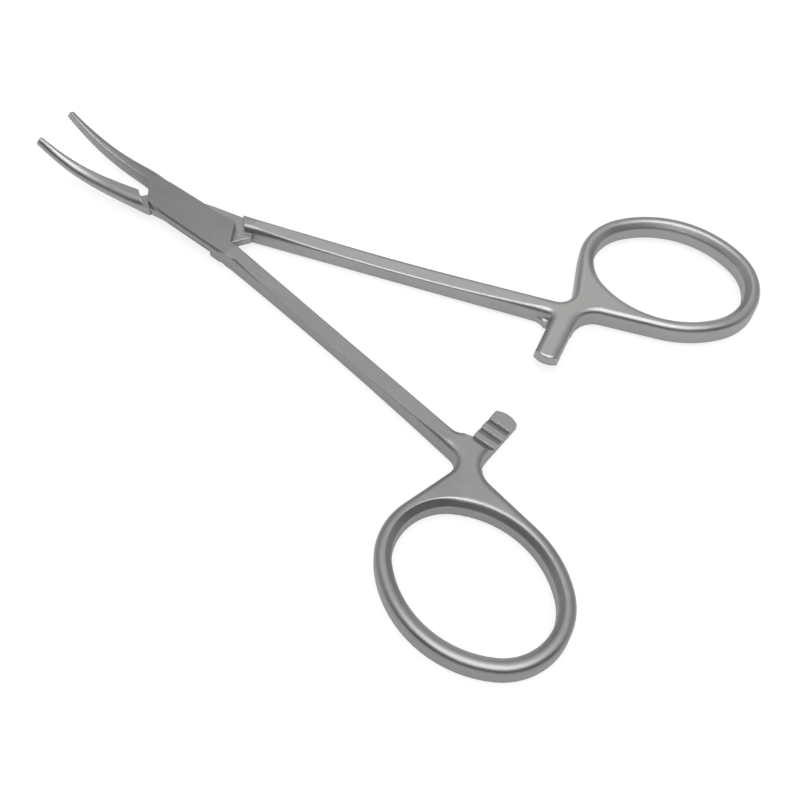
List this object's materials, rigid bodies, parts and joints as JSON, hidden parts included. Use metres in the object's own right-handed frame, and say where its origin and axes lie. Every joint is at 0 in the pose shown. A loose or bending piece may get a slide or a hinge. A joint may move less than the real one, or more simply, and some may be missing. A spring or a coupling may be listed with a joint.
{
  "type": "hemostat forceps",
  "caption": "Ring-handled locking forceps with a box lock, a ratchet between the handles and curved, cross-serrated jaws for clamping small vessels.",
  "frame": {"origin": "on the axis of the joint pin, in the plane that the instrument rests on", "axes": "+Z along the joint pin, towards the side that the jaws curve to; +X from the pin to between the finger rings; the male half's ring is on +Y"},
  "size_m": [0.1206, 0.0914, 0.0083],
  "materials": {
    "steel": "satin brushed stainless steel",
    "pin_steel": "ground flush stainless steel"
  },
  "bodies": {
    "female_arm": {"female_half": "steel", "joint_pin": "pin_steel"},
    "male_arm": {"male_half": "steel"}
  },
  "joints": [
    {"name": "box_lock_hinge", "type": "hinge", "parent": "female_arm", "child": "male_arm", "pos_m": [0, 0, 0.0021], "axis": [0, 0, 1], "range_deg": [-13.9, 35]}
  ]
}
